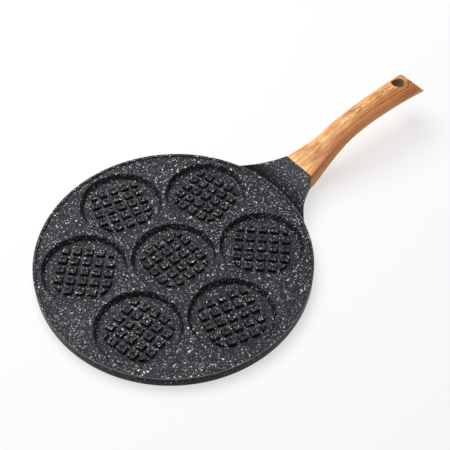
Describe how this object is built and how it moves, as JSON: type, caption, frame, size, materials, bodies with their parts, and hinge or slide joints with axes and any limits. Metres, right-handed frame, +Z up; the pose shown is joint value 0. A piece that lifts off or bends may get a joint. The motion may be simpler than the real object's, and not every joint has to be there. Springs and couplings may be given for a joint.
{
  "type": "pancake pan",
  "caption": "Round flat cast pan with studded wells for small pancakes, a flared neck and a rising wood-look handle with a hanging eye.",
  "frame": {"origin": "centre of the flat underside of the round pan, on the plane that it stands on", "axes": "+X from the pan's centre out along the handle, +Z up out of the wells, +Y to the left of the handle"},
  "size_m": [0.4612, 0.262, 0.0586],
  "materials": {
    "stone_coating": "satin charcoal non-stick coating with pale specks on die-cast aluminium",
    "stainless_steel": "satin",
    "wood_look_phenolic": "satin wood-grain film on moulded phenolic",
    "zinc_plated_steel": "bright zinc"
  },
  "bodies": {
    "root": {"pan_body": "stone_coating", "induction_disc": "stainless_steel", "handle_grip": "wood_look_phenolic", "handle_screw": "zinc_plated_steel", "flat_washer": "zinc_plated_steel", "spring_washer": "zinc_plated_steel"}
  },
  "joints": []
}
